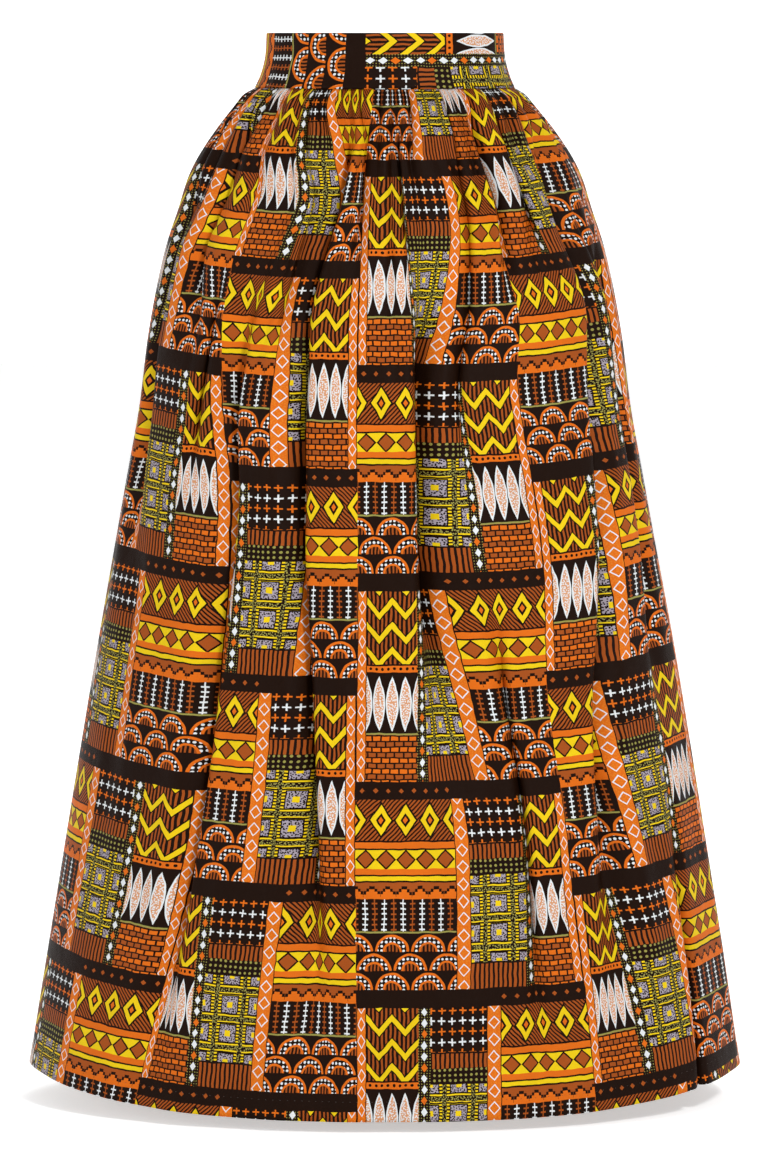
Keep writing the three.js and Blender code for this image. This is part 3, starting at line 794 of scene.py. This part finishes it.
def wobbled(place):
    """The same places, shifted a little as if the print's lines were drawn by hand."""
    shifts = texture("ShaderNodeTexNoise", place, WOBBLE["scale"], "Color", noise_dimensions="2D")
    shifts.node.inputs["Detail"].default_value = WOBBLE["detail"]
    moved = Field.nodes.new("ShaderNodeVectorMath")
    moved.operation = "MULTIPLY_ADD"
    connect(moved.inputs[0], shifts)
    moved.inputs[1].default_value = (WOBBLE["reach"], WOBBLE["reach"], 0)
    connect(moved.inputs[2], place)
    return moved.outputs[0]


def dye_colours(dyes):
    """The colours of dye numbers."""
    ramp = Field.nodes.new("ShaderNodeValToRGB")
    ramp.color_ramp.interpolation = "CONSTANT"
    elements = ramp.color_ramp.elements
    while len(elements) < len(DYES):
        elements.new(1)
    for i, colour in enumerate(DYES.values()):
        elements[i].position = i / len(DYES)
        elements[i].color = linear(colour) + [1.0]
    connect(ramp.inputs[0], (dyes + 0.5) / len(DYES))
    return ramp.outputs[0]


def print_material(name):
    """Printed cotton: the design in dyes, uneven cloth, and the weave as bump. Its UV map holds
    metres of cloth."""
    material, shader = new_material(name)
    uv_map = Field.nodes.new("ShaderNodeUVMap")
    uv_map.uv_map = "cloth"
    place = scaled(uv_map.outputs[0], 1 / MM)
    drawn_x, drawn_y, _ = axes_of(wobbled(place))
    colours = dye_colours(design(drawn_x, drawn_y))

    patches = noise(place, PATCHES["scale"], noise_dimensions="2D")
    threads = noise(place, THREADS["scale"], noise_dimensions="2D")
    middle_tone = (PATCHES["share"] + THREADS["share"]) / 2
    tone = patches * PATCHES["share"] + threads * THREADS["share"] + (DYE_DEPTH - middle_tone)
    connect(shader.inputs["Base Color"], scaled(colours, tone))
    roughness = threads * 0.2 + 0.38
    connect(shader.inputs["Roughness"], roughness)
    shader.inputs["Specular IOR Level"].default_value = 0.04

    x, y, _ = axes_of(place)
    turn = 2 * math.pi / WEAVE["pitch"]
    weave = Field.math("SINE", x * turn) * Field.math("SINE", y * turn)
    crinkle = noise(place, CRINKLE_SCALE, noise_dimensions="2D")
    add_bump(shader, weave * WEAVE["share"] + crinkle, strength=0.6, distance=0.0016)
    return material


def woven_material(name, colour, pitch):
    """Plain woven tape or thread. The pitch of its weave is in metres."""
    material, shader = new_material(name)
    place = Field.nodes.new("ShaderNodeTexCoord").outputs["Object"]
    grain = noise(place, scale=900)
    x, _, z = axes_of(place)
    rows = Field.math("SINE", z * (2 * math.pi / pitch))
    ribs = Field.math("SINE", x * (2 * math.pi / pitch))
    tone = grain * 0.7 + rows * 0.08 + 0.62
    connect(shader.inputs["Base Color"], scaled(linear(colour), tone))
    shader.inputs["Roughness"].default_value = 0.8
    shader.inputs["Sheen Weight"].default_value = 0.15
    add_bump(shader, rows * ribs, strength=0.5, distance=0.0002)
    return material


def metal_material(name, colour):
    """Dulled, slightly worn metal."""
    material, shader = new_material(name)
    place = Field.nodes.new("ShaderNodeTexCoord").outputs["Object"]
    worn = noise(place, scale=420)
    tone = worn * 0.5 + 0.72
    roughness = worn * 0.3 + 0.2
    connect(shader.inputs["Base Color"], scaled(linear(colour), tone))
    connect(shader.inputs["Roughness"], roughness)
    shader.inputs["Metallic"].default_value = 1
    add_bump(shader, worn, strength=0.15, distance=0.0001)
    return material


# ------------------------------------------------ skirt panels
# Rows of the cloth's grid: close together under the band and at the turned hem, wider between.
CLOTH_DROPS = np.concatenate([
    np.arange(0, 0.060, 0.003),
    np.arange(0.060, 0.200, 0.006),
    np.arange(0.200, PANEL_LENGTH - HEM_TURN - 0.002, 0.012),
    PANEL_LENGTH - HEM_TURN + np.array([-0.0008, 0.0008]),
    np.linspace(PANEL_LENGTH - 0.012, PANEL_LENGTH, 3),
])
COLUMN_PITCH = 0.00255
TUCK_RISES = (0.0042, 0.0018)  # rows that run up inside the band
TUCK_INWARD = 0.0009
SEAM_CREASE = {"depth": 0.0009, "width": 0.0022}
PRINT_TOP = 0.128  # where in a row of the print the waist seam cuts it
PRINT_STARTS = {"front": 0.030, "left": 0.171, "right": 0.655}  # of the panels, along the print


def seam_crease(arounds, edges):
    """The panels turn in a little along their seams. Returns offsets outwards, so none above 0."""
    nearest = np.min([np.abs(arounds - edge) for edge in edges], axis=0)
    return -SEAM_CREASE["depth"] * np.exp(-((nearest / SEAM_CREASE["width"]) ** 2))


def skirt_panel(name, start, end, print_start, material):
    """start and end: places round the tube as functions of the drop."""
    columns = int(round((end(0) - start(0)) / COLUMN_PITCH))
    shares = np.linspace(0, 1, columns + 1)
    rows, uvs = [], []
    for drop in CLOTH_DROPS:
        edges = (start(drop), end(drop))
        arounds = edges[0] + shares * (edges[1] - edges[0])
        rows.append(cloth_points(arounds, drop, seam_crease(arounds, edges)))
        print_x = print_start + arounds - start(0)
        print_y = np.full_like(arounds, PRINT_TOP + drop)
        uvs.append(np.stack([print_x, print_y], axis=-1))
    top = start(0) + shares * (end(0) - start(0))
    seam = cloth_points(top, 0, -TUCK_INWARD, fine=False)
    tucked = [seam + [0, 0, rise] for rise in TUCK_RISES]
    tucked_uvs = [uvs[0] - [0, rise] for rise in TUCK_RISES]
    grid = np.array(tucked + rows)
    hem_rows = np.sum(CLOTH_DROPS > PANEL_LENGTH - HEM_TURN)
    thickness = np.full(len(grid), CLOTH)
    thickness[-hem_rows:] = 2 * CLOTH
    vertices, faces = shell(grid, thickness)
    face_uvs = np.array(tucked_uvs + uvs).reshape(-1, 2)
    both_faces = np.concatenate([face_uvs, face_uvs])
    return new_object(name, vertices, faces, material, "skirt", both_faces)


def side_edge(side):
    return lambda drop: side * PANEL_WIDTH / 2


def back_edge(side):
    """The centre back: open along the zip, and sewn below it."""

    def place(drop):
        open_share = 1 - float(smooth(ZIP_LENGTH, ZIP_LENGTH + SLOT_CLOSES, drop))
        slot = SEAM_GAP + open_share * (ZIP_SLOT - SEAM_GAP)
        near = cloth_points(PANEL_WIDTH - np.array([1, 2]) * MM, drop, fine=False)
        stretch = np.linalg.norm(near[1] - near[0]) / MM
        return side * (PANEL_WIDTH - slot / 2 / stretch)

    return place


def make_panels(material):
    front = skirt_panel("front_cloth", side_edge(-1), side_edge(1), PRINT_STARTS["front"], material)
    left = skirt_panel("back_left_cloth", side_edge(1), back_edge(1), PRINT_STARTS["left"], material)
    right = skirt_panel("back_right_cloth", back_edge(-1), side_edge(-1), PRINT_STARTS["right"], material)
    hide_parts("skirt_front")
    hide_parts("skirt_back_left")
    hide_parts("skirt_back_right")
    return front, left, right


# ------------------------------------------------ waistband
BAND_COLUMNS, BAND_ROWS = 288, 17  # of its grid, the rows for each face
BAND_EDGE = 0.0012  # radius of the fold along its top
BAND_PROUD = 0.0002  # how far its outer face stands out from the solid
# How the gathers pull at its lower edge, and how its stiffened cloth swells between its edges.
# The waves' sizes are shares of the depth.
BAND_PULL = {"depth": 0.0006, "fade": 0.012, "waves": [(0.6, 23, 0), (0.5, 41, 1)]}
BAND_SWELL = {"depth": 0.0005, "waves": [(0.6, 5, 1), (0.5, 8, 0)]}
BAND_PRINT = (0.040, 0.240)  # where its top edge and its centre front lie on the print
BAND_PRINT_RADIUS = 0.1055  # of a circle as long as the band is half way down


def band_profile():
    """Drops and outward places round the band's wall: down the outside, up the inside and over
    the rounded top."""
    drops = np.linspace(BAND_EDGE, BAND_HEIGHT, BAND_ROWS)
    bend = np.radians([67.5, 45, 22.5])
    top = [(BAND_EDGE * (1 - math.sin(a)), -BAND_EDGE * (1 - math.cos(a))) for a in bend]
    profile = [(drop, BAND_PROUD) for drop in drops]
    profile += [(drop, -BAND_WALL) for drop in drops[::-1]]
    profile += [(drop, -BAND_WALL - outward) for drop, outward in reversed(top)]
    profile += [(0.0, -BAND_WALL / 2)]
    profile += [(drop, outward + BAND_PROUD) for drop, outward in top]
    return profile


def band_relief(drop, turn):
    pull = BAND_PULL["depth"] * math.exp(-(BAND_HEIGHT - drop) / BAND_PULL["fade"])
    swell = BAND_SWELL["depth"] * math.sin(math.pi * drop / BAND_HEIGHT)
    return pull * sum_of_waves(BAND_PULL["waves"], turn) + swell * sum_of_waves(BAND_SWELL["waves"], turn)


def band_cloth(material):
    """One closed skin, with the slot for the zip at the centre back."""
    slot = math.degrees(ZIP_SLOT / 2 / (BAND_SECTIONS["side"][0] * MM))
    degrees = np.linspace(slot - 180, 180 - slot, BAND_COLUMNS + 1)
    turn = np.radians(degrees)
    rows, uvs = [], []
    for drop, outward in band_profile():
        is_outer = outward > -BAND_WALL / 2
        rows.append(band_points(degrees, drop, outward + band_relief(drop, turn) * is_outer))
        print_x = np.full_like(turn, BAND_PRINT[0] + drop)
        print_y = BAND_PRINT[1] + turn * BAND_PRINT_RADIUS
        uvs.append(np.stack([print_x, print_y], axis=-1))
    grid = np.array(rows)
    index = np.arange(grid.shape[0] * grid.shape[1]).reshape(grid.shape[:2])
    below = np.roll(index, -1, axis=0)
    quads = np.stack([index[:, :-1], below[:, :-1], below[:, 1:], index[:, 1:]], axis=-1)
    ends = [index[:, 0].tolist(), index[::-1, -1].tolist()]
    faces = quads.reshape(-1, 4).tolist() + ends
    points, places = grid.reshape(-1, 3), np.array(uvs).reshape(-1, 2)
    band = new_object("band_cloth", points, faces, material, "skirt", places)
    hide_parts("waistband")
    return band


# ------------------------------------------------ zip and sewing
COIL = {
    "pitch": 0.0013,
    "radius": 0.0011,
    "steps": 7,  # to a turn
    "aside": 0.0009,  # from the centre back to the middle of each coil
    "inward": 0.0022,  # from the inner face of the band or of the solids' cloth
    "top": 0.016,  # under the slider, below the band's top edge
    "flatness": (0.8, 0.6),  # the turn's half width and half depth, in radii
    "thread": 0.00028,  # radius
}
STITCH = {
    "pitch": 0.0075,
    "length": 0.0016,
    "arch": 0.0004,  # how far its middle stands out from its ends
    "sunk": 0.0001,  # how far its ends lie in the cloth
    "radius": 0.00022,
    "margin": 0.006,  # from the centre back to the first
    "points": 5,  # along each
}
THREAD_SIDES = 4
OFF_AXIS = (0.31, 0.42, 0.85)  # a direction that no thread runs along


def tube(points, radius, sides):
    """Vertices and faces of a closed tube along points."""
    points = np.asarray(points)
    along = np.gradient(points, axis=0)
    along /= np.linalg.norm(along, axis=-1, keepdims=True)
    aside = np.cross(along, OFF_AXIS)
    aside /= np.linalg.norm(aside, axis=-1, keepdims=True)
    third = np.cross(along, aside)
    angles = (np.arange(sides) * 2 * math.pi / sides)[None, :, None]
    spokes = aside[:, None] * np.cos(angles) + third[:, None] * np.sin(angles)
    rings = points[:, None] + radius * spokes
    index = np.arange(len(points) * sides).reshape(-1, sides)
    turned = np.roll(index, -1, axis=1)
    quads = np.stack([index[:-1], turned[:-1], turned[1:], index[1:]], axis=-1).reshape(-1, 4)
    return rings.reshape(-1, 3), quads.tolist() + [index[0, ::-1].tolist(), index[-1].tolist()]


def joined(parts):
    """One list of vertices and of faces from several."""
    vertices, faces, start = [], [], 0
    for part_vertices, part_faces in parts:
        vertices.extend(np.asarray(part_vertices).tolist())
        faces.extend([[i + start for i in face] for face in part_faces])
        start += len(part_vertices)
    return vertices, faces


def back_line(across, down, inward):
    """A place on the centre back, beside the zip. down counts from the band's top edge."""
    if down <= BAND_HEIGHT:
        place = band_points(np.array([180.0]), down)[0]
        return place + Vector((across, -inward - BAND_WALL, 0))
    place = cloth_points(np.array([PANEL_WIDTH]), down - BAND_HEIGHT, fine=False)[0]
    return place + Vector((across, -inward - CAD_WALL / 2, 0))


def zip_coils(material):
    """The two halves of the zip's coil, half a turn apart."""
    downs = np.arange(COIL["top"], BAND_HEIGHT + ZIP_LENGTH, COIL["pitch"] / COIL["steps"])
    wide, deep = [COIL["radius"] * share for share in COIL["flatness"]]
    parts = []
    for side, half_turn in ((-1, 0), (1, math.pi)):
        points = []
        for down in downs:
            turn = 2 * math.pi * down / COIL["pitch"] + half_turn
            across = side * COIL["aside"] + wide * math.cos(turn)
            points.append(back_line(across, down, COIL["inward"] + deep * math.sin(turn)))
        parts.append(tube(points, COIL["thread"], THREAD_SIDES))
    vertices, faces = joined(parts)
    return new_object("zip_coils", vertices, faces, material, "skirt")


def hem_stitches(material):
    """The few threads of a blind hem that show on the outside, all round."""
    reach = PANEL_WIDTH - STITCH["margin"]
    starts = np.arange(-reach, reach, STITCH["pitch"])
    shares = np.linspace(0, 1, STITCH["points"])
    arounds = (starts[:, None] + shares[None, :] * STITCH["length"]).ravel()
    arch = np.tile(np.sin(shares * math.pi), len(starts)) * STITCH["arch"]
    outward = CLOTH / 2 - STITCH["sunk"] + arch
    points = cloth_points(arounds, PANEL_LENGTH - HEM_TURN, outward)
    lines = points.reshape(len(starts), -1, 3)
    vertices, faces = joined([tube(line, STITCH["radius"], THREAD_SIDES) for line in lines])
    return new_object("hem_stitches", vertices, faces, material, "skirt")


# ------------------------------------------------ stage
IMAGE_HEIGHT = 1155  # pixels of the photo
PHOTO_SCALE = 0.001021  # metres to a pixel of the photo, worked out from the waist
ENLARGED = 1.0028  # makes up for the height that the camera's tilt takes away
METRES_PER_PIXEL = PHOTO_SCALE / ENLARGED  # at the skirt's middle
CAMERA_DISTANCE = 6.2
CAMERA_HEIGHT = BAND_HEIGHT / 2  # level with the band's top edge
AIM_HEIGHT = -0.5249  # what the middle of the picture shows
SENSOR = 36  # of the camera, in millimetres, along the picture's longer side
VIEW_END = 60  # as far as the camera sees

STAGE_REACH, STAGE_HEIGHT, STAGE_SIDES = 14, 12, 48  # wider than any view's camera stands off
FLOOR_DROP = 0.012  # the floor below the hem
PAPER = (0.93, 0.93, 0.93, 1)
FLOOR_GLOW, WALL_GLOW = 0.51, 0.6
WORLD_LIGHT = 0.46
LIGHTS_AIM = (0, 0, -0.45)
LIGHTS = [
    # name, place, size across, watts
    ("key", (2.0, -3.8, 2.4), 0.8, 145),
    ("fill", (-3.6, -2.6, 0.6), 2.0, 44),
    ("rim", (0.6, 3.2, 2.4), 2.4, 60),
]


def turned_towards(aim, place):
    return (Vector(aim) - Vector(place)).to_track_quat("-Z", "Y").to_euler()


def make_camera():
    """The lens makes a pixel as large as METRES_PER_PIXEL at the distance of the skirt."""
    place = Vector((0, -CAMERA_DISTANCE, CAMERA_HEIGHT))
    aim = Vector((0, 0, AIM_HEIGHT))
    data = bpy.data.cameras.new("camera")
    data.sensor_width = SENSOR
    data.lens = SENSOR * (aim - place).length / (IMAGE_HEIGHT * METRES_PER_PIXEL)
    data.clip_end = VIEW_END
    camera = bpy.data.objects.new("camera", data)
    camera.location = place
    camera.rotation_euler = turned_towards(aim, place)
    bpy.context.scene.collection.objects.link(camera)
    bpy.context.scene.camera = camera


def stage_surface(name, corners, faces, glow, lights_object):
    """A white surface that isn't part of the object, kept white by its glow. It lights what stands
    on the stage only where lights_object is true."""
    mesh = bpy.data.meshes.new(name)
    mesh.from_pydata(corners, [], faces)
    plane = bpy.data.objects.new(name, mesh)
    plane.visible_diffuse = lights_object
    bpy.context.scene.collection.objects.link(plane)
    material, shader = new_material(name)
    shader.inputs["Base Color"].default_value = PAPER
    shader.inputs["Roughness"].default_value = 0.9
    shader.inputs["Emission Color"].default_value = (1, 1, 1, 1)
    shader.inputs["Emission Strength"].default_value = glow
    mesh.materials.append(material)


def make_stage():
    """A round floor and a round wall about it."""
    floor = float(cad_box[0][2]) - FLOOR_DROP
    angles = np.arange(STAGE_SIDES) * 2 * math.pi / STAGE_SIDES
    circle = [(STAGE_REACH * math.cos(a), STAGE_REACH * math.sin(a)) for a in angles]
    low = [(x, y, floor) for x, y in circle]
    high = [(x, y, STAGE_HEIGHT) for x, y in circle]
    ring = []
    for i in range(STAGE_SIDES):
        following = (i + 1) % STAGE_SIDES
        ring.append((i, following, following + STAGE_SIDES, i + STAGE_SIDES))
    stage_surface("floor", low, [range(STAGE_SIDES)], FLOOR_GLOW, lights_object=True)
    stage_surface("backdrop", low + high, ring, WALL_GLOW, lights_object=False)


def area_light(name, place, size, power):
    data = bpy.data.lights.new(name, "AREA")
    data.shape = "DISK"
    data.size = size
    data.energy = power
    light = bpy.data.objects.new(name, data)
    light.location = place
    light.rotation_euler = turned_towards(LIGHTS_AIM, place)
    bpy.context.scene.collection.objects.link(light)


def make_lights():
    world = bpy.data.worlds.new("studio")
    world.use_nodes = True
    background = world.node_tree.nodes["Background"]
    background.inputs["Color"].default_value = (1, 1, 1, 1)
    background.inputs["Strength"].default_value = WORLD_LIGHT
    bpy.context.scene.world = world
    for light in LIGHTS:
        area_light(*light)


# ------------------------------------------------ the skirt
make_camera()
make_stage()
make_lights()
bpy.context.scene.view_settings.view_transform = "Standard"

printed = print_material("printed_cotton")
tape = woven_material("zip_tape_weave", "#1c1815", pitch=0.0008)
thread = woven_material("dark_thread", "#2a201a", pitch=0.0004)
metal = metal_material("dull_zip_metal", "#8d7a55")

front, back_left, back_right = make_panels(printed)
band = band_cloth(printed)
zip_coils(tape)
stitches = hem_stitches(thread)
carried_over = {"zip_tape_left": tape, "zip_tape_right": tape, "zip_slider": metal, "zip_pull": metal}
for node, material in carried_over.items():
    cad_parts[node].data.materials.clear()
    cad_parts[node].data.materials.append(material)
